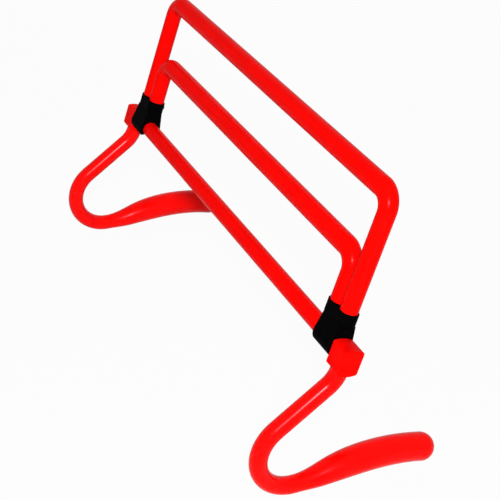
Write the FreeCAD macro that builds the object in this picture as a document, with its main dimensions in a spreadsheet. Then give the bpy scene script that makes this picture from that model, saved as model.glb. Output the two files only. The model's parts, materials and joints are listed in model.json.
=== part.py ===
import FreeCAD, Part
import Sketcher
import math
import os

# Speed hurdle with three bars: a base of lower bar, two heads and two bent feet,
# and a frame of two nested hoops whose hubs clip round the lower bar.
# Lengths in millimetres, angles in degrees, X along the bars, Y from the heels
# to the foot tips, Z up, floor at zero.

doc = FreeCAD.newDocument("SpeedHurdle")
sheet = doc.addObject("Spreadsheet::Sheet", "Dims")

sizes = (
    # hoops
    ("leg_od", 17.4),
    ("top_od", 20.0),
    ("hoop_wall", 2.0),
    ("leg_gap", 0.66),
    ("leg_inset", 25.8),
    ("mid_bar_rise", 81.1),
    ("top_bar_rise", 148.8),
    ("hoop_bend", 17.5),
    # lower bar and feet
    ("base_od", 17.4),
    ("base_wall", 2.0),
    ("foot_x", 257.0),
    ("foot_top", 4.0),
    ("neck_run", 27.2),
    ("neck_bend", 30.0),
    ("arm_run", 70.0),
    ("heel_bend", 39.1),
    ("club_od", 28.8),
    ("club_rise_bend", 125.9),
    ("club_crest_bend", 213.3),
    # heads
    ("head_shift", 1.5),
    ("head_thick", 23.4),
    ("head_width", 20.8),
    ("head_top", 8.3),
    ("head_crown", 1.9),
    ("head_drop", 14.2),
    ("head_belly", 2.7),
    ("head_round", 1.6),
    ("spigot_past", 5.2),
    ("spigot_lead", 1.2),
    # hubs
    ("hub_gap", 0.3),
    ("hub_run", 29.1),
    ("hub_drum", 12.5),
    ("hub_waist", 8.6),
    ("hub_wall", 1.3),
    ("hub_rim", 34.2),
    ("hub_ledge", 18.8),
    ("hub_floor", 1.8),
    ("hub_lead", 2.6),
    ("hub_edge", 0.7),
    ("jaw_drop", 8.0),
    # plugs and screws
    ("plug_run", 13.0),
    ("plug_lead", 0.8),
    ("cap_run", 9.0),
    ("cap_lead", 0.7),
    ("screw_shank", 2.9),
    ("screw_run", 8.6),
    ("screw_point", 2.0),
    ("screw_cap", 5.6),
    ("screw_cap_rise", 2.0),
    ("screw_dome", 0.9),
    ("cross_span", 3.2),
    ("cross_slot", 0.8),
    ("cross_deep", 1.3),
    ("screw_rise", 28.0),
    ("screw_seat", 0.45),
    ("foot_screw_drop", 5.0),
    ("bar_screw_gap", 11.4),
    # clearances
    ("turning_clear", 0.05),
    ("socket_clear", 0.05),
    ("screw_clear", 0.1),
    ("cut_over", 5.0),
)
angles = (
    ("lean", 14.7),
    ("arm_drop", 37.6),
    ("club_rise", 14.9),
    ("club_fall", 13.5),
    ("jaw_half", 37.0),
)


class Size:
    # one named size: its number for first guesses and its text for expressions
    def __init__(self, number, text):
        self.n = number
        self.t = text

    def other(self, b):
        return b if isinstance(b, Size) else Size(float(b), repr(b))

    def __add__(self, b):
        b = self.other(b)
        return Size(self.n + b.n, "(" + self.t + " + " + b.t + ")")

    def __sub__(self, b):
        b = self.other(b)
        return Size(self.n - b.n, "(" + self.t + " - " + b.t + ")")

    def __mul__(self, b):
        b = self.other(b)
        return Size(self.n * b.n, "(" + self.t + " * " + b.t + ")")

    def __truediv__(self, b):
        b = self.other(b)
        return Size(self.n / b.n, "(" + self.t + " / " + b.t + ")")

    def __neg__(self):
        return Size(-self.n, "(0 - " + self.t + ")")


def sine(a):
    return Size(math.sin(math.radians(a.n)), "sin(" + a.t + " * 1deg)")


def cosine(a):
    return Size(math.cos(math.radians(a.n)), "cos(" + a.t + " * 1deg)")


def tangent(a):
    return Size(math.tan(math.radians(a.n)), "tan(" + a.t + " * 1deg)")


def root(a):
    return Size(math.sqrt(a.n), "sqrt(" + a.t + ")")


d = {}
for row, (name, value) in enumerate(sizes + angles, start=1):
    sheet.set("A%d" % row, name)
    sheet.set("B%d" % row, str(value))
    sheet.setAlias("B%d" % row, name)
    d[name] = Size(value, "Dims." + name)
zero = Size(0.0, "0")
doc.recompute()

# Derived values, each made from the named sizes
half = 0.5
leg_r = d["leg_od"] * half
top_r = d["top_od"] * half
base_r = d["base_od"] * half
leg_step = (d["leg_od"] + d["leg_gap"]) * half
leg_mid_x = d["foot_x"] - d["leg_inset"]
inner_x = leg_mid_x - leg_step
outer_x = leg_mid_x + leg_step
head_in = d["foot_x"] + d["head_shift"] - d["head_thick"] * half
hub_out = head_in - d["hub_gap"]
hub_in = hub_out - d["hub_run"]
hub_neck = leg_r + d["hub_wall"]
bar_screw_x = hub_in - d["bar_screw_gap"]
spigot_run = head_in - bar_screw_x + d["spigot_past"]
socket_z = d["hub_ledge"] + d["hub_floor"]
axis_h = (d["neck_run"] * cosine(d["lean"]) + d["arm_run"] * sine(d["arm_drop"])
          + d["heel_bend"] * (cosine(d["arm_drop"]) + 1) + base_r)

# Foot line in the YZ plane, measured from the pivot line: neck, arm, heel and club
turn_half = (d["lean"] + d["arm_drop"]) * -half + 45
neck_tan = d["neck_bend"] * tangent(turn_half)
sinL, cosL = sine(d["lean"]), cosine(d["lean"])
sinA, cosA = sine(d["arm_drop"]), cosine(d["arm_drop"])
corner_y = -(d["neck_run"] * sinL)
corner_z = -(d["neck_run"] * cosL)
neck_y = corner_y + neck_tan * sinL
neck_z = corner_z + neck_tan * cosL
armA_y = corner_y - neck_tan * cosA
armA_z = corner_z - neck_tan * sinA
bendC_y = neck_y - d["neck_bend"] * cosL
bendC_z = neck_z + d["neck_bend"] * sinL
armB_y = corner_y - d["arm_run"] * cosA
armB_z = corner_z - d["arm_run"] * sinA
heelC_y = armB_y + d["heel_bend"] * sinA
heelC_z = armB_z - d["heel_bend"] * cosA
heel_z = heelC_z - d["heel_bend"]
floor_z = heel_z - base_r
swell = (d["club_od"] - d["base_od"]) * half
join_y = heelC_y + d["club_rise_bend"] * sine(d["club_rise"])
riseC_z = heel_z + d["club_rise_bend"]
join_z = riseC_z - d["club_rise_bend"] * cosine(d["club_rise"])
crestC_y = join_y + d["club_crest_bend"] * sine(d["club_rise"])
crestC_z = join_z - d["club_crest_bend"] * cosine(d["club_rise"])
tip_y = crestC_y + d["club_crest_bend"] * sine(d["club_fall"])
tip_z = crestC_z + d["club_crest_bend"] * cosine(d["club_fall"])
tip_r = tip_z - floor_z
# the origin lies on the floor under the middle of the whole part's depth
mid_y = (heelC_y - d["heel_bend"] - base_r + tip_y + tip_r) * half

tilted = FreeCAD.Rotation(FreeCAD.Vector(1, 0, 0), -d["lean"].n)
upright = FreeCAD.Rotation()
toYZ = FreeCAD.Rotation(FreeCAD.Vector(1, 1, 1), 120)


def bind(thing, prop, size):
    thing.setExpression(prop, size.t)


def stand(thing, x, rotation):
    # puts a sub-part on the pivot line at the height of the lower bar
    thing.Placement = FreeCAD.Placement(FreeCAD.Vector(x.n, -mid_y.n, axis_h.n), rotation)
    bind(thing, "Placement.Base.x", x)
    bind(thing, "Placement.Base.y", -mid_y)
    bind(thing, "Placement.Base.z", axis_h)
    if rotation is tilted:
        thing.setExpression("Placement.Rotation.Angle", "Dims.lean * 1deg")
        thing.setExpression("Placement.Rotation.Axis.x", "-1")


def plane(body, role):
    for feature in body.Origin.OriginFeatures:
        if feature.Role == role:
            return feature
    raise ValueError(role)


def sketchOn(body, role, offset, name):
    sketch = body.newObject("Sketcher::SketchObject", name)
    sketch.AttachmentSupport = (plane(body, role), [""])
    sketch.MapMode = "FlatFace"
    sketch.AttachmentOffset = FreeCAD.Placement(FreeCAD.Vector(0, 0, offset.n), FreeCAD.Rotation())
    bind(sketch, "AttachmentOffset.Base.z", offset)
    return sketch


def hold(sketch, kind, args, size):
    index = sketch.addConstraint(Sketcher.Constraint(kind, *args, size.n))
    sketch.setExpression("Constraints[%d]" % index, size.t)


def ring(sketch, x, y, radius):
    circle = Part.Circle(FreeCAD.Vector(x.n, y.n, 0), FreeCAD.Vector(0, 0, 1), radius.n)
    index = sketch.addGeometry(circle, False)
    hold(sketch, "DistanceX", (-1, 1, index, 3), x)
    hold(sketch, "DistanceY", (-1, 1, index, 3), y)
    hold(sketch, "Radius", (index,), radius)


def chain(sketch, start, steps, closed):
    # start (x, y); each step ("line", x, y) or ("arc", x, y, centre x, centre y, radius, turn);
    # a half circle is held by its centre, any other arc by its radius
    points = [start] + [(step[1], step[2]) for step in steps]
    made = []
    for step, a, b in zip(steps, points[:-1], points[1:]):
        pa = FreeCAD.Vector(a[0].n, a[1].n, 0)
        pb = FreeCAD.Vector(b[0].n, b[1].n, 0)
        if step[0] == "line":
            made.append((sketch.addGeometry(Part.LineSegment(pa, pb), False), 1, 2, None))
            continue
        centre = FreeCAD.Vector(step[3].n, step[4].n, 0)
        first, last = (pa, pb) if step[6] > 0 else (pb, pa)
        low = math.atan2(first.y - centre.y, first.x - centre.x)
        high = math.atan2(last.y - centre.y, last.x - centre.x)
        while high <= low:
            high += 2 * math.pi
        circle = Part.Circle(centre, FreeCAD.Vector(0, 0, 1), step[5].n)
        index = sketch.addGeometry(Part.ArcOfCircle(circle, low, high), False)
        made.append((index, 1, 2, step) if step[6] > 0 else (index, 2, 1, step))
    for one, two in zip(made[:-1], made[1:]):
        sketch.addConstraint(Sketcher.Constraint("Coincident", one[0], one[2], two[0], two[1]))
    if closed:
        tail, front = made[-1], made[0]
        sketch.addConstraint(Sketcher.Constraint("Coincident", tail[0], tail[2], front[0], front[1]))
    for geo, a in zip(made, points[:-1]):
        hold(sketch, "DistanceX", (-1, 1, geo[0], geo[1]), a[0])
        hold(sketch, "DistanceY", (-1, 1, geo[0], geo[1]), a[1])
        if geo[3] is not None and len(geo[3]) > 7:
            hold(sketch, "DistanceX", (-1, 1, geo[0], 3), geo[3][3])
        elif geo[3] is not None:
            hold(sketch, "Radius", (geo[0],), geo[3][5])
    if not closed:
        geo = made[-1]
        hold(sketch, "DistanceX", (-1, 1, geo[0], geo[2]), points[-1][0])
        hold(sketch, "DistanceY", (-1, 1, geo[0], geo[2]), points[-1][1])


def newBody(name):
    return doc.addObject("PartDesign::Body", name)


def raised(body, sketch, run, name):
    pad = body.newObject("PartDesign::Pad", name)
    pad.Profile = sketch
    pad.Length = run.n
    bind(pad, "Length", run)
    return pad


def cutInto(body, sketch, run, name, turned=False):
    before = body.Shape.Volume
    pocket = body.newObject("PartDesign::Pocket", name)
    pocket.Profile = sketch
    pocket.Length = run.n
    bind(pocket, "Length", run)
    pocket.Reversed = turned
    doc.recompute()
    if not pocket.Shape.Volume < before:
        raise ValueError(name + " removes nothing")
    return pocket


def edgesWhere(shape, test):
    names = []
    for index, edge in enumerate(shape.Edges, start=1):
        if test(edge):
            names.append("Edge%d" % index)
    return names


def rounded(body, base, names, size, kind, label):
    feature = body.newObject("PartDesign::" + kind, label)
    feature.Base = (base, names)
    prop = "Radius" if kind == "Fillet" else "Size"
    setattr(feature, prop, size.n)
    bind(feature, prop, size)
    doc.recompute()
    return feature


def spun(body, sketch, axis, name):
    turn = body.newObject("PartDesign::Revolution", name)
    turn.Profile = sketch
    turn.ReferenceAxis = (sketch, [axis])
    turn.Angle = 360.0
    doc.recompute()
    return turn


def mirrored(source, label):
    twin = doc.addObject("Part::Mirroring", label)
    twin.Source = source
    twin.Normal = FreeCAD.Vector(1, 0, 0)
    twin.Label = label
    doc.recompute()
    return twin


finished = []

# Hoops: a bar whose tube narrows through each bend into a leg, legs down into the hub sockets,
# a screw hole in the back of each leg


def circleAt(name, x, y, z, axis, turned, radius):
    # a circle whose axis is +Z turned about the given axis by the given angle
    thing = doc.addObject("Part::Circle", name)
    turn = FreeCAD.Rotation(FreeCAD.Vector(*axis), turned.n)
    thing.Placement = FreeCAD.Placement(FreeCAD.Vector(x.n, y.n, z.n), turn)
    bind(thing, "Placement.Base.x", x)
    bind(thing, "Placement.Base.y", y)
    bind(thing, "Placement.Base.z", z)
    thing.setExpression("Placement.Rotation.Angle", turned.t + " * 1deg")
    bind(thing, "Radius", radius)
    return thing


def rod(name, x, z, radius, run, lying):
    # a round bar standing on its lower end, or lying along X from its left end
    thing = doc.addObject("Part::Cylinder", name)
    bind(thing, "Radius", radius)
    bind(thing, "Height", run)
    turn = FreeCAD.Rotation(FreeCAD.Vector(0, 1, 0), 90 if lying else 0)
    thing.Placement = FreeCAD.Placement(FreeCAD.Vector(x.n, 0, z.n), turn)
    bind(thing, "Placement.Base.x", x)
    bind(thing, "Placement.Base.z", z)
    return thing


def drillWay(name, x, y, z, rotation, run):
    # a round way for a screw, running towards the back
    thing = doc.addObject("Part::Cylinder", name)
    bind(thing, "Radius", d["screw_shank"] * half + d["screw_clear"])
    bind(thing, "Height", run)
    thing.Placement = FreeCAD.Placement(FreeCAD.Vector(x.n, y.n, z.n), rotation)
    bind(thing, "Placement.Base.x", x)
    bind(thing, "Placement.Base.y", y)
    bind(thing, "Placement.Base.z", z)
    return thing


def fused(name, things):
    whole = doc.addObject("Part::MultiFuse", name)
    whole.Shapes = things
    whole.Refine = False
    doc.recompute()
    return whole


def hollowed(label, skin, hollow):
    made = doc.addObject("Part::Cut", label)
    made.Base = skin
    made.Tool = hollow
    made.Refine = False
    doc.recompute()
    made.Label = label
    return made


quarter = Size(90.0, "90")
backward = FreeCAD.Rotation(FreeCAD.Vector(-1, 0, 0), 90)


def hoop(label, x, rise):
    foot = socket_z + d["socket_clear"]
    bend = d["hoop_bend"]
    shoulder = rise - bend
    spines = []
    for side, hand in (("Right", 1), ("Left", -1)):
        spine = doc.addObject("Sketcher::SketchObject", label + side + "Spine")
        facing = FreeCAD.Rotation(FreeCAD.Vector(1, 0, 0), 90)
        spine.Placement = FreeCAD.Placement(FreeCAD.Vector(0, 0, 0), facing)
        chain(spine, (x * hand, shoulder), (
            ("arc", (x - bend) * hand, rise, (x - bend) * hand, shoulder, bend, hand),), False)
        spines.append((side, hand, spine))
    doc.recompute()

    def form(name, inset):
        solids = [rod(name + "Bar", bend - x, rise, top_r - inset, (x - bend) * 2, True)]
        for side, hand, spine in spines:
            solids.append(rod(name + side + "Leg", x * hand, foot, leg_r - inset, shoulder - foot, False))
            low = circleAt(name + side + "Low", x * hand, zero, shoulder, (0, 0, 1), zero, leg_r - inset)
            high = circleAt(name + side + "High", (x - bend) * hand, zero, rise,
                            (0, -hand, 0), quarter, top_r - inset)
            turn = doc.addObject("Part::Sweep", name + side + "Bend")
            turn.Sections = [low, high]
            turn.Spine = (spine, ["Edge1"])
            turn.Solid = True
            turn.Frenet = False
            solids.append(turn)
        return fused(name, solids)

    skin = form(label + "Skin", zero)
    core = form(label + "Core", d["hoop_wall"])
    ways = []
    for side, hand, spine in spines:
        ways.append(drillWay(label + side + "Way", x * hand, zero, d["screw_rise"], backward, d["leg_od"]))
    body = hollowed(label, skin, fused(label + "Hollow", [core] + ways))
    stand(body, zero, tilted)
    doc.recompute()
    finished.append(body)
    return body


outerHoop = hoop("outer_hoop", outer_x, d["top_bar_rise"])
innerHoop = hoop("inner_hoop", inner_x, d["mid_bar_rise"])

# Hubs: twin sockets above, a drum below whose open jaw snaps round the lower bar

hub = newBody("right_hub")
neckPlan = sketchOn(hub, "XY_Plane", d["hub_ledge"], "NeckPlan")
chain(neckPlan, (inner_x, -hub_neck), (
    ("line", outer_x, -hub_neck),
    ("arc", outer_x, hub_neck, outer_x, zero, hub_neck, 1, "half"),
    ("line", inner_x, hub_neck),
    ("arc", inner_x, -hub_neck, inner_x, zero, hub_neck, 1, "half")), True)
doc.recompute()
neck = raised(hub, neckPlan, d["hub_rim"] - d["hub_ledge"], "Neck")
doc.recompute()
ledgeEdges = edgesWhere(neck.Shape, lambda e: e.BoundBox.ZMax < d["hub_ledge"].n + d["hub_edge"].n)
lead = rounded(hub, neck, ledgeEdges, d["hub_lead"], "Chamfer", "NeckLead")
rimEdges = edgesWhere(lead.Shape, lambda e: e.BoundBox.ZMin > d["hub_rim"].n - d["hub_edge"].n)
rim = rounded(hub, lead, rimEdges, d["hub_edge"], "Fillet", "RimRound")

bore_r = base_r + d["turning_clear"]
jaw_y = root(d["hub_drum"] * d["hub_drum"] - d["jaw_drop"] * d["jaw_drop"])
lip_y = bore_r * sine(d["jaw_half"])
lip_z = -(bore_r * cosine(d["jaw_half"]))
shoulder_z = d["hub_ledge"] + d["hub_lead"]
drumPlan = sketchOn(hub, "YZ_Plane", hub_in, "DrumPlan")
chain(drumPlan, (jaw_y, -d["jaw_drop"]), (
    ("arc", d["hub_drum"], zero, zero, zero, d["hub_drum"], 1),
    ("line", d["hub_waist"], shoulder_z),
    ("line", -d["hub_waist"], shoulder_z),
    ("line", -d["hub_drum"], zero),
    ("arc", -jaw_y, -d["jaw_drop"], zero, zero, d["hub_drum"], 1),
    ("line", -lip_y, lip_z),
    ("line", lip_y, lip_z),
    ("line", jaw_y, -d["jaw_drop"])), True)
doc.recompute()
drum = raised(hub, drumPlan, d["hub_run"], "Drum")
doc.recompute()

boreSketch = sketchOn(hub, "YZ_Plane", hub_in - d["cut_over"], "BarBore")
ring(boreSketch, zero, zero, bore_r)
doc.recompute()
cutInto(hub, boreSketch, d["hub_run"] + d["cut_over"] * 2, "BarBoreCut", True)

sockets = sketchOn(hub, "XY_Plane", d["hub_rim"], "Sockets")
ring(sockets, inner_x, zero, leg_r + d["socket_clear"])
ring(sockets, outer_x, zero, leg_r + d["socket_clear"])
doc.recompute()
cutInto(hub, sockets, d["hub_rim"] - socket_z, "SocketCut")

hubHoles = sketchOn(hub, "XZ_Plane", zero, "HubScrewHoles")
hole_r = d["screw_shank"] * half + d["screw_clear"]
ring(hubHoles, inner_x, d["screw_rise"], hole_r)
ring(hubHoles, outer_x, d["screw_rise"], hole_r)
doc.recompute()
cutInto(hub, hubHoles, d["leg_od"], "HubScrewCut")
seats = sketchOn(hub, "XZ_Plane", d["screw_seat"] - hub_neck, "ScrewSeats")
seat_r = d["screw_cap"] * half + d["screw_clear"] * 2
ring(seats, inner_x, d["screw_rise"], seat_r)
ring(seats, outer_x, d["screw_rise"], seat_r)
doc.recompute()
cutInto(hub, seats, d["cut_over"], "ScrewSeatCut")
hub.Label = "right_hub"
stand(hub, zero, tilted)
doc.recompute()
finished.append(hub)
finished.append(mirrored(hub, "left_hub"))

# Lower bar: a plain tube with a screw hole near each end

bar = newBody("lower_bar")
bar_end = head_in - d["socket_clear"]
barRing = sketchOn(bar, "YZ_Plane", -bar_end, "BarRing")
ring(barRing, zero, zero, base_r)
ring(barRing, zero, zero, base_r - d["base_wall"])
doc.recompute()
raised(bar, barRing, bar_end * 2, "BarTube")
doc.recompute()
barHoles = sketchOn(bar, "XZ_Plane", zero, "BarScrewHoles")
ring(barHoles, -bar_screw_x, zero, hole_r)
ring(barHoles, bar_screw_x, zero, hole_r)
doc.recompute()
cutInto(bar, barHoles, d["base_od"], "BarScrewCut")
bar.Label = "lower_bar"
stand(bar, zero, tilted)
finished.append(bar)

# Heads: crowned block with a socket for the foot below and a spigot into the lower bar

head = newBody("right_head")
wide = d["head_width"] * half


def capRadius(sag):
    # radius of the arc that spans the head's width with the given sag
    return (wide * wide + sag * sag) / (sag * 2)


crown_r = capRadius(d["head_crown"])
belly_r = capRadius(d["head_belly"])
blockPlan = sketchOn(head, "YZ_Plane", head_in, "BlockPlan")
chain(blockPlan, (wide, -d["head_drop"]), (
    ("line", wide, d["head_top"]),
    ("arc", -wide, d["head_top"], zero, d["head_top"] + d["head_crown"] - crown_r, crown_r, 1),
    ("line", -wide, -d["head_drop"]),
    ("arc", wide, -d["head_drop"], zero, belly_r - d["head_drop"] - d["head_belly"], belly_r, 1)), True)
doc.recompute()
block = raised(head, blockPlan, d["head_thick"], "Block")
doc.recompute()
soft = rounded(head, block, edgesWhere(block.Shape, lambda e: True), d["head_round"], "Fillet", "BlockRound")
spigot_r = base_r - d["base_wall"] - d["socket_clear"]
spigotPlan = sketchOn(head, "YZ_Plane", head_in - spigot_run, "SpigotPlan")
ring(spigotPlan, zero, zero, spigot_r)
doc.recompute()
spigot = raised(head, spigotPlan, spigot_run + d["base_wall"], "Spigot")
doc.recompute()
tip_x = head_in - spigot_run
tipEdges = edgesWhere(spigot.Shape, lambda e: e.BoundBox.XMax < tip_x.n + d["spigot_lead"].n)
rounded(head, spigot, tipEdges, d["spigot_lead"], "Chamfer", "SpigotLead")
socket = sketchOn(head, "XY_Plane", d["foot_top"] + d["socket_clear"], "FootSocket")
ring(socket, d["foot_x"], zero, base_r + d["socket_clear"])
doc.recompute()
cutInto(head, socket, d["head_drop"] * 2, "FootSocketCut")
headHoles = sketchOn(head, "XZ_Plane", zero, "HeadScrewHoles")
ring(headHoles, d["foot_x"], -d["foot_screw_drop"], hole_r)
ring(headHoles, bar_screw_x, zero, hole_r)
doc.recompute()
cutInto(head, headHoles, d["head_width"], "HeadScrewCut")
head.Label = "right_head"
stand(head, zero, tilted)
doc.recompute()
finished.append(head)
finished.append(mirrored(head, "left_head"))

# Feet: neck, neck bend, arm and heel bend swept round, then a club swelling out of the tube

# stations of the club: share of the rising arc, or of the crest arc, and share of the full swell
rise_shares = ((0.0, 0.0), (0.4, 0.11), (1.0, 0.55))
crest_shares = ((0.2055, 0.886), (0.418, 1.0), (0.726, 1.0))

footPath = doc.addObject("Sketcher::SketchObject", "FootPath")
footPath.Placement = FreeCAD.Placement(FreeCAD.Vector(0, 0, 0), toYZ)
chain(footPath, (d["foot_top"] * sinL, d["foot_top"] * cosL), (
    ("line", neck_y, neck_z),
    ("arc", armA_y, armA_z, bendC_y, bendC_z, d["neck_bend"], -1),
    ("line", armB_y, armB_z),
    ("arc", heelC_y, heel_z, heelC_y, heelC_z, d["heel_bend"], 1)), False)
doc.recompute()

clubPath = doc.addObject("Sketcher::SketchObject", "ClubPath")
clubPath.Placement = FreeCAD.Placement(FreeCAD.Vector(0, 0, 0), toYZ)
chain(clubPath, (heelC_y, heel_z), (
    ("arc", join_y, join_z, heelC_y, riseC_z, d["club_rise_bend"], 1),
    ("arc", tip_y, tip_z, crestC_y, crestC_z, d["club_crest_bend"], -1)), False)
doc.recompute()


def footForm(name, inset):
    # the foot's solid form, drawn in by the given wall
    upturn = d["lean"] * -1 + 360
    start = circleAt(name + "Start", zero, d["foot_top"] * sinL, d["foot_top"] * cosL,
                     (1, 0, 0), upturn, base_r - inset)
    sweep = doc.addObject("Part::Sweep", name + "Sweep")
    sweep.Sections = [start]
    sweep.Spine = (footPath, ["Edge1", "Edge2", "Edge3", "Edge4"])
    sweep.Solid = True
    sweep.Frenet = False
    stations = []
    for share, grow in rise_shares:
        pitch = d["club_rise"] * share
        y = heelC_y + d["club_rise_bend"] * sine(pitch)
        z = riseC_z - d["club_rise_bend"] * cosine(pitch)
        stations.append((y, z, pitch, base_r + swell * grow))
    for share, grow in crest_shares:
        pitch = d["club_rise"] - (d["club_rise"] + d["club_fall"]) * share
        y = crestC_y - d["club_crest_bend"] * sine(pitch)
        z = crestC_z + d["club_crest_bend"] * cosine(pitch)
        stations.append((y, z, pitch, base_r + swell * grow))
    stations.append((tip_y, tip_z, -d["club_fall"], tip_r))
    rings = []
    for index, (y, z, pitch, radius) in enumerate(stations):
        rings.append(circleAt("%sRing%d" % (name, index), zero, y, z, (1, 0, 0), pitch + 90, radius - inset))
    club = doc.addObject("Part::Sweep", name + "Club")
    club.Sections = rings
    club.Spine = (clubPath, ["Edge1", "Edge2"])
    club.Solid = True
    club.Frenet = False
    return fused(name, [sweep, club])


footSkin = footForm("FootSkin", zero)
footCore = footForm("FootCore", d["base_wall"])
way_y = -(d["foot_screw_drop"] * sinL)
way_z = -(d["foot_screw_drop"] * cosL)
wayTurn = FreeCAD.Rotation(FreeCAD.Vector(-1, 0, 0), 90 + d["lean"].n)
screwWay = drillWay("FootScrewWay", zero, way_y, way_z, wayTurn, d["base_od"])
screwWay.setExpression("Placement.Rotation.Angle", "(90 + Dims.lean) * 1deg")
foot = hollowed("right_foot", footSkin, fused("FootHollow", [footCore, screwWay]))
stand(foot, d["foot_x"], upright)
doc.recompute()
finished.append(foot)
finished.append(mirrored(foot, "left_foot"))

# Foot caps: a half ball closing the open end of the club, with a tapered spigot inside it

tip_down = d["club_fall"] + 90
tip_turn = FreeCAD.Rotation(FreeCAD.Vector(-1, 0, 0), tip_down.n)
dome = doc.addObject("Part::Sphere", "CapDome")
bind(dome, "Radius", tip_r)
dome.Angle1 = 0.0
dome.Angle2 = 90.0
stub = doc.addObject("Part::Cone", "CapStub")
stub_r = tip_r - d["base_wall"] - d["socket_clear"]
bind(stub, "Radius1", stub_r - d["cap_lead"])
bind(stub, "Radius2", stub_r)
bind(stub, "Height", d["cap_run"])
stub.Placement = FreeCAD.Placement(FreeCAD.Vector(0, 0, -d["cap_run"].n), FreeCAD.Rotation())
bind(stub, "Placement.Base.z", -d["cap_run"])
cap = doc.addObject("Part::MultiFuse", "right_foot_cap")
cap.Shapes = [dome, stub]
cap.Refine = False
cap.Label = "right_foot_cap"
cap_z = axis_h + tip_z
cap_y = tip_y - mid_y
cap.Placement = FreeCAD.Placement(FreeCAD.Vector(d["foot_x"].n, cap_y.n, cap_z.n), tip_turn)
bind(cap, "Placement.Base.x", d["foot_x"])
bind(cap, "Placement.Base.y", cap_y)
bind(cap, "Placement.Base.z", cap_z)
cap.setExpression("Placement.Rotation.Angle", tip_down.t + " * 1deg")
doc.recompute()
finished.append(cap)
finished.append(mirrored(cap, "left_foot_cap"))

# Plugs: stiffeners inside the tube ends where the screws bite


def plug(label, x, low, radius, hole_z):
    body = newBody(label)
    outline = sketchOn(body, "XZ_Plane", zero, "Outline")
    top = low + d["plug_run"]
    chain(outline, (zero, low), (
        ("line", radius, low),
        ("line", radius, top - d["plug_lead"]),
        ("line", radius - d["plug_lead"], top),
        ("line", zero, top),
        ("line", zero, low)), True)
    doc.recompute()
    spun(body, outline, "V_Axis", "Turned")
    pilot = sketchOn(body, "XZ_Plane", zero, "Pilot")
    ring(pilot, zero, hole_z, hole_r)
    doc.recompute()
    cutInto(body, pilot, radius * 2, "PilotCut")
    body.Label = label
    stand(body, x, tilted)
    doc.recompute()
    finished.append(body)
    return body


leg_plug_r = leg_r - d["hoop_wall"] - d["socket_clear"]
leg_low = socket_z + d["socket_clear"]
for side, hand in (("right", 1), ("left", -1)):
    plug(side + "_outer_leg_plug", outer_x * hand, leg_low, leg_plug_r, d["screw_rise"])
    plug(side + "_inner_leg_plug", inner_x * hand, leg_low, leg_plug_r, d["screw_rise"])
foot_plug_low = d["foot_top"] - d["plug_run"]
for side, hand in (("right", 1), ("left", -1)):
    plug(side + "_foot_plug", d["foot_x"] * hand, foot_plug_low, spigot_r, -d["foot_screw_drop"])

# Screws: dome-headed tapping screws, all from the back, a mirrored pair to each node


def screwPair(label, x, seat_y, z):
    body = newBody(label + "_one")
    outline = sketchOn(body, "XY_Plane", z, "Outline")
    shank = d["screw_shank"] * half
    cap = d["screw_cap"] * half
    top = seat_y + d["screw_cap_rise"]
    low = seat_y - d["screw_run"]
    dome = d["screw_dome"]
    dome_r = (cap * cap + dome * dome) / (dome * 2)
    chain(outline, (x, low), (
        ("line", x + shank, low + d["screw_point"]),
        ("line", x + shank, seat_y),
        ("line", x + cap, seat_y),
        ("line", x + cap, top - dome),
        ("arc", x, top, x, top - dome_r, dome_r, 1),
        ("line", x, low)), True)
    doc.recompute()
    tip, peak = FreeCAD.Vector(x.n, low.n, 0), FreeCAD.Vector(x.n, top.n, 0)
    axis = outline.addGeometry(Part.LineSegment(tip, peak), True)
    outline.addConstraint(Sketcher.Constraint("Coincident", axis, 1, 5, 2))
    outline.addConstraint(Sketcher.Constraint("Coincident", axis, 2, 5, 1))
    doc.recompute()
    spun(body, outline, "Axis0", "Turned")
    arm = d["cross_span"] * half
    slot = d["cross_slot"] * half
    cross = sketchOn(body, "XZ_Plane", -top, "Cross")
    chain(cross, (x + arm, z - slot), (
        ("line", x + arm, z + slot),
        ("line", x + slot, z + slot),
        ("line", x + slot, z + arm),
        ("line", x - slot, z + arm),
        ("line", x - slot, z + slot),
        ("line", x - arm, z + slot),
        ("line", x - arm, z - slot),
        ("line", x - slot, z - slot),
        ("line", x - slot, z - arm),
        ("line", x + slot, z - arm),
        ("line", x + slot, z - slot),
        ("line", x + arm, z - slot)), True)
    doc.recompute()
    cutInto(body, cross, d["cross_deep"], "CrossCut", True)
    stand(body, zero, tilted)
    doc.recompute()
    twin = mirrored(body, label + "_twin")
    pair = doc.addObject("Part::Compound", label)
    pair.Links = [body, twin]
    pair.Label = label
    doc.recompute()
    finished.append(pair)
    return pair


hub_seat = hub_neck - d["screw_seat"]
screwPair("outer_hoop_screws", outer_x, hub_seat, d["screw_rise"])
screwPair("inner_hoop_screws", inner_x, hub_seat, d["screw_rise"])
screwPair("foot_screws", d["foot_x"], wide, -d["foot_screw_drop"])
screwPair("bar_screws", bar_screw_x, base_r, zero)

# Checks and export

doc.recompute()
for thing in doc.Objects:
    if "Invalid" in thing.State or "Error" in thing.State:
        raise ValueError("bad state: " + thing.Label)
os.makedirs("parts", exist_ok=True)
for thing in finished:
    shape = thing.Shape
    if shape.isNull() or not shape.isValid():
        raise ValueError("bad shape: " + thing.Label)
    box = shape.BoundBox
    print("%-24s solids %d volume %.0f  x %.1f %.1f  y %.1f %.1f  z %.1f %.1f" % (
        thing.Label, len(shape.Solids), shape.Volume,
        box.XMin, box.XMax, box.YMin, box.YMax, box.ZMin, box.ZMax))
    shape.exportStep("parts/" + thing.Label + ".step")
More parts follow.
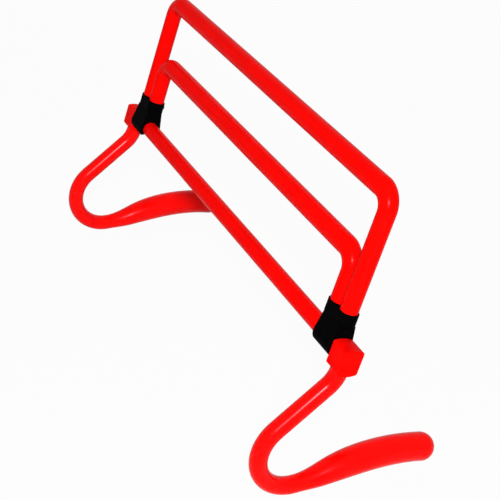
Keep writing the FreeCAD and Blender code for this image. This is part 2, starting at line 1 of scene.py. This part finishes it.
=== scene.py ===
import bmesh
import bpy
import json
import math
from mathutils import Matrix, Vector

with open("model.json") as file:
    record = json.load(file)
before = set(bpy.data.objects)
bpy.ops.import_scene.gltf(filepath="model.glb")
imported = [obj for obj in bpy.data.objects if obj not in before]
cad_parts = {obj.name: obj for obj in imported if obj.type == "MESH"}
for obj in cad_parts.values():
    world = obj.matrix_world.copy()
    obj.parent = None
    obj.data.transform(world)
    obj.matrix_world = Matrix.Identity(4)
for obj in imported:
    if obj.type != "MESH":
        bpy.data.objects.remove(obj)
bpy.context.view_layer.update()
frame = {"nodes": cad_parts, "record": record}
scene = bpy.context.scene
print("frame loaded:", len(frame["nodes"]), "nodes")


def feed(tree, socket, value):
    # a socket takes another socket's output or a plain value
    if isinstance(value, bpy.types.NodeSocket):
        tree.links.new(value, socket)
    else:
        socket.default_value = value


def addMath(tree, operation, first, second):
    step = tree.nodes.new("ShaderNodeMath")
    step.operation = operation
    step.use_clamp = True
    feed(tree, step.inputs[0], first)
    feed(tree, step.inputs[1], second)
    return step.outputs["Value"]


# cloudSpan is the part of the noise that the two colours spread over
grainValues = {"roughness": 0.6, "cloudDetail": 4.0, "fineDetail": 3.0,
               "cloudSpan": (0.3, 0.7), "bump": 0.6}


def addNoise(tree, place, scale, detail):
    noise = tree.nodes.new("ShaderNodeTexNoise")
    noise.inputs["Detail"].default_value = detail
    noise.inputs["Roughness"].default_value = grainValues["roughness"]
    feed(tree, noise.inputs["Vector"], place)
    feed(tree, noise.inputs["Scale"], scale)
    return noise.outputs["Fac"]


def addRange(tree, value, low, high, toLow, toHigh):
    span = tree.nodes.new("ShaderNodeMapRange")
    for name, number in (("Value", value), ("From Min", low), ("From Max", high),
                         ("To Min", toLow), ("To Max", toHigh)):
        feed(tree, span.inputs[name], number)
    return span.outputs["Result"]


# faint lines that run the length of the drawn tubes, in metres; lean of the legs in degrees
lineValues = {"pitch": 0.0016, "length": 0.15, "barEnd": 0.205, "legStart": 0.225,
              "lean": 14.7, "share": 0.55}


def addLines(tree, place):
    # along X on the bars, along the leaning legs further out
    pitch, length = lineValues["pitch"], lineValues["length"]
    lean = -math.radians(lineValues["lean"])
    runs = []
    for turn, size in ((0.0, (length, pitch, pitch)), (lean, (pitch, pitch, length))):
        stretch = tree.nodes.new("ShaderNodeMapping")
        stretch.vector_type = "TEXTURE"
        stretch.inputs["Rotation"].default_value = (turn, 0.0, 0.0)
        stretch.inputs["Scale"].default_value = size
        feed(tree, stretch.inputs["Vector"], place)
        runs.append(addNoise(tree, stretch.outputs["Vector"], 1.0, grainValues["fineDetail"]))
    split = tree.nodes.new("ShaderNodeSeparateXYZ")
    feed(tree, split.inputs["Vector"], place)
    reach = addMath(tree, "ABSOLUTE", split.outputs["X"], 0.0)
    onLeg = addRange(tree, reach, lineValues["barEnd"], lineValues["legStart"], 0.0, 1.0)
    mix = tree.nodes.new("ShaderNodeMix")
    feed(tree, mix.inputs["Factor"], onLeg)
    feed(tree, mix.inputs["A"], runs[0])
    feed(tree, mix.inputs["B"], runs[1])
    return mix.outputs["Result"]


def blendLines(tree, noise, lines):
    share = lineValues["share"]
    return addMath(tree, "ADD", addMath(tree, "MULTIPLY", noise, 1.0 - share),
                   addMath(tree, "MULTIPLY", lines, share))


def finishGroup(name, drawn):
    # clouded colour, uneven polish and a fine bump, with lengthwise lines on drawn tube
    group = bpy.data.node_groups.new(name, "ShaderNodeTree")
    face = group.interface
    for kind, sockets in (("Float", ("Mottle", "Scuff", "Depth", "Smooth", "Dull")),
                          ("Color", ("Deep", "Bright"))):
        for socket in sockets:
            face.new_socket(socket, in_out="INPUT", socket_type="NodeSocket" + kind)
    for kind, socket in (("Color", "Colour"), ("Float", "Roughness"), ("Vector", "Normal")):
        face.new_socket(socket, in_out="OUTPUT", socket_type="NodeSocket" + kind)
    start = group.nodes.new("NodeGroupInput").outputs
    end = group.nodes.new("NodeGroupOutput").inputs
    place = group.nodes.new("ShaderNodeTexCoord").outputs["Object"]
    cloud = addNoise(group, place, start["Mottle"], grainValues["cloudDetail"])
    grain = addNoise(group, place, start["Scuff"], grainValues["fineDetail"])
    if drawn:
        lines = addLines(group, place)
        cloud = blendLines(group, cloud, lines)
        grain = blendLines(group, grain, lines)
    low, high = grainValues["cloudSpan"]
    tint = group.nodes.new("ShaderNodeMix")
    tint.data_type = "RGBA"
    feed(group, tint.inputs["Factor"], addRange(group, cloud, low, high, 0.0, 1.0))
    feed(group, tint.inputs["A"], start["Deep"])
    feed(group, tint.inputs["B"], start["Bright"])
    feed(group, end["Colour"], tint.outputs["Result"])
    polish = addRange(group, cloud, low, high, start["Smooth"], start["Dull"])
    feed(group, end["Roughness"], polish)
    bump = group.nodes.new("ShaderNodeBump")
    bump.inputs["Strength"].default_value = grainValues["bump"]
    feed(group, bump.inputs["Distance"], start["Depth"])
    feed(group, bump.inputs["Height"], grain)
    feed(group, end["Normal"], bump.outputs["Normal"])
    return group


moulded = finishGroup("MouldedFinish", False)
drawn = finishGroup("DrawnFinish", True)


def finishMaterial(name, values, group):
    material = bpy.data.materials.new(name)
    material.use_nodes = True
    tree = material.node_tree
    shader = tree.nodes["Principled BSDF"]
    shader.inputs["Metallic"].default_value = values["metal"]
    shader.inputs["Specular IOR Level"].default_value = values["gloss"]
    coat = tree.nodes.new("ShaderNodeGroup")
    coat.node_tree = group
    for socket, value in (("Mottle", values["mottle"]), ("Scuff", values["scuff"]),
                          ("Depth", values["scuffDepth"]),
                          ("Deep", values["deep"]), ("Bright", values["bright"]),
                          ("Smooth", values["polish"][0]), ("Dull", values["polish"][1])):
        coat.inputs[socket].default_value = value
    feed(tree, shader.inputs["Base Color"], coat.outputs["Colour"])
    feed(tree, shader.inputs["Roughness"], coat.outputs["Roughness"])
    feed(tree, shader.inputs["Normal"], coat.outputs["Normal"])
    return material


# one finish to each material slot; mottle and scuff are noise scales, scuffDepth is in metres
redTube = {"deep": (0.82, 0.0008, 0.0005, 1.0), "bright": (0.96, 0.0029, 0.0014, 1.0),
           "metal": 0.0, "gloss": 0.012, "mottle": 38.0, "polish": (0.17, 0.28),
           "scuff": 900.0, "scuffDepth": 0.00002}
redFoot = {"deep": (0.82, 0.0009, 0.0006, 1.0), "bright": (0.96, 0.0029, 0.0016, 1.0),
           "metal": 0.0, "gloss": 0.065, "mottle": 38.0, "polish": (0.17, 0.22),
           "scuff": 900.0, "scuffDepth": 0.00001}
redMoulding = {"deep": (0.80, 0.0008, 0.0005, 1.0), "bright": (0.96, 0.0029, 0.0014, 1.0),
               "metal": 0.0, "gloss": 0.01, "mottle": 90.0, "polish": (0.32, 0.44),
               "scuff": 1500.0, "scuffDepth": 0.00008}
blackMoulding = {"deep": (0.0008, 0.0007, 0.0007, 1.0), "bright": (0.0016, 0.0014, 0.0014, 1.0),
                 "metal": 0.0, "gloss": 0.005, "mottle": 90.0, "polish": (0.48, 0.64),
                 "scuff": 1500.0, "scuffDepth": 0.00025}
blackScrew = {"deep": (0.012, 0.012, 0.013, 1.0), "bright": (0.030, 0.030, 0.032, 1.0),
              "metal": 0.9, "gloss": 0.5, "mottle": 400.0, "polish": (0.28, 0.45),
              "scuff": 3000.0, "scuffDepth": 0.00002}
slotMaterials = {
    "red_tube": finishMaterial("RedTube", redTube, drawn),
    "red_moulding": finishMaterial("RedMoulding", redMoulding, moulded),
    "black_moulding": finishMaterial("BlackMoulding", blackMoulding, moulded),
    "screw_steel": finishMaterial("BlackScrew", blackScrew, moulded),
}
footMaterial = finishMaterial("RedFoot", redFoot, moulded)
for part in frame["record"]["subparts"]:
    thing = frame["nodes"][part["node"]]
    thing.data.materials.clear()
    if part["node"].endswith(("_foot", "_foot_cap")):  # the feet are glossier than the hoops
        thing.data.materials.append(footMaterial)
    else:
        thing.data.materials.append(slotMaterials[part["material_slot"]])
print("materials set:", len(slotMaterials) + 1)


def seenRays(tree):
    # rays that look at the backdrop: straight from the camera, or by way of gloss and glass
    path = tree.nodes.new("ShaderNodeLightPath").outputs
    shiny = addMath(tree, "ADD", path["Is Glossy Ray"], path["Is Transmission Ray"])
    return addMath(tree, "ADD", path["Is Camera Ray"], shiny)


floorValues = {"size": 30.0, "grey": 0.62, "glow": 0.95}  # glow: share of white over the matt


def addFloor():
    mesh = bpy.data.meshes.new("Floor")
    sheet = bmesh.new()
    bmesh.ops.create_grid(sheet, x_segments=1, y_segments=1, size=floorValues["size"] / 2)
    sheet.to_mesh(mesh)
    sheet.free()
    floor = bpy.data.objects.new("Floor", mesh)
    scene.collection.objects.link(floor)
    material = bpy.data.materials.new("PaleFloor")
    material.use_nodes = True
    tree = material.node_tree
    tree.nodes.clear()
    out = tree.nodes.new("ShaderNodeOutputMaterial")
    matt = tree.nodes.new("ShaderNodeBsdfDiffuse")
    matt.inputs["Color"].default_value = (floorValues["grey"],) * 3 + (1.0,)
    glow = tree.nodes.new("ShaderNodeEmission")
    glow.inputs["Strength"].default_value = 1.0
    share = addMath(tree, "MULTIPLY", seenRays(tree), floorValues["glow"])
    mix = tree.nodes.new("ShaderNodeMixShader")
    tree.links.new(share, mix.inputs["Fac"])
    tree.links.new(matt.outputs["BSDF"], mix.inputs[1])
    tree.links.new(glow.outputs["Emission"], mix.inputs[2])
    tree.links.new(mix.outputs["Shader"], out.inputs["Surface"])
    mesh.materials.append(material)


worldValues = {"sky": 0.17, "backdrop": 1.0}


def addWorld():
    world = bpy.data.worlds.new("Studio")
    scene.world = world
    world.use_nodes = True
    tree = world.node_tree
    tree.nodes.clear()
    out = tree.nodes.new("ShaderNodeOutputWorld")
    mix = tree.nodes.new("ShaderNodeMixShader")
    tree.links.new(seenRays(tree), mix.inputs["Fac"])
    for index, strength in ((1, worldValues["sky"]), (2, worldValues["backdrop"])):
        soft = tree.nodes.new("ShaderNodeBackground")
        soft.inputs["Color"].default_value = (1.0, 1.0, 1.0, 1.0)
        soft.inputs["Strength"].default_value = strength
        tree.links.new(soft.outputs["Background"], mix.inputs[index])
    tree.links.new(mix.outputs["Shader"], out.inputs["Surface"])


# solved on the photograph's tubes; turn in degrees, lens and sensor in millimetres
cameraValues = {"place": (1.029262, -0.519345, 0.793101),
                "turn": (59.14564, -4.02061, 64.85547), "lens": 91.2233, "sensor": 36.0}


def addCamera():
    data = bpy.data.cameras.new("Camera")
    data.sensor_fit = "HORIZONTAL"
    data.sensor_width = cameraValues["sensor"]
    data.lens = cameraValues["lens"]
    camera = bpy.data.objects.new("Camera", data)
    camera.location = cameraValues["place"]
    camera.rotation_euler = [math.radians(angle) for angle in cameraValues["turn"]]
    scene.collection.objects.link(camera)
    scene.camera = camera


# key and glint stand behind the camera, as the streaks along the two arms show; the glint shows
# in gloss alone, so that it adds no light to the colours, and a wide soft fill lights the back
keyLamp = {"power": 66.0, "size": 0.35, "colour": (1.0, 1.0, 1.0),
           "onColours": True, "inGloss": True, "place": (1.749, -0.882, 1.454)}
glintLamp = {"power": 110.0, "size": 0.2, "colour": (1.0, 0.74, 1.0),
             "onColours": False, "inGloss": True, "place": (1.749, -0.882, 1.454)}
fillLamp = {"power": 10.0, "size": 1.6, "colour": (1.0, 1.0, 1.0),
            "onColours": True, "inGloss": False, "place": (-1.35, 0.85, 0.45)}
lampAim = (0.0, 0.0, 0.14)


def addLamp(name, values):
    data = bpy.data.lights.new(name, "AREA")
    data.shape = "DISK"
    data.energy = values["power"]
    data.size = values["size"]
    data.color = values["colour"]
    lamp = bpy.data.objects.new(name, data)
    lamp.visible_diffuse = values["onColours"]
    lamp.visible_glossy = values["inGloss"]
    lamp.location = values["place"]
    aim = Vector(lampAim) - lamp.location
    lamp.rotation_euler = aim.to_track_quat("-Z", "Y").to_euler()
    scene.collection.objects.link(lamp)


addFloor()
addWorld()
addCamera()
addLamp("Key", keyLamp)
addLamp("Glint", glintLamp)
addLamp("Fill", fillLamp)
scene.view_settings.view_transform = "Standard"
print("stage, camera and lamps set")
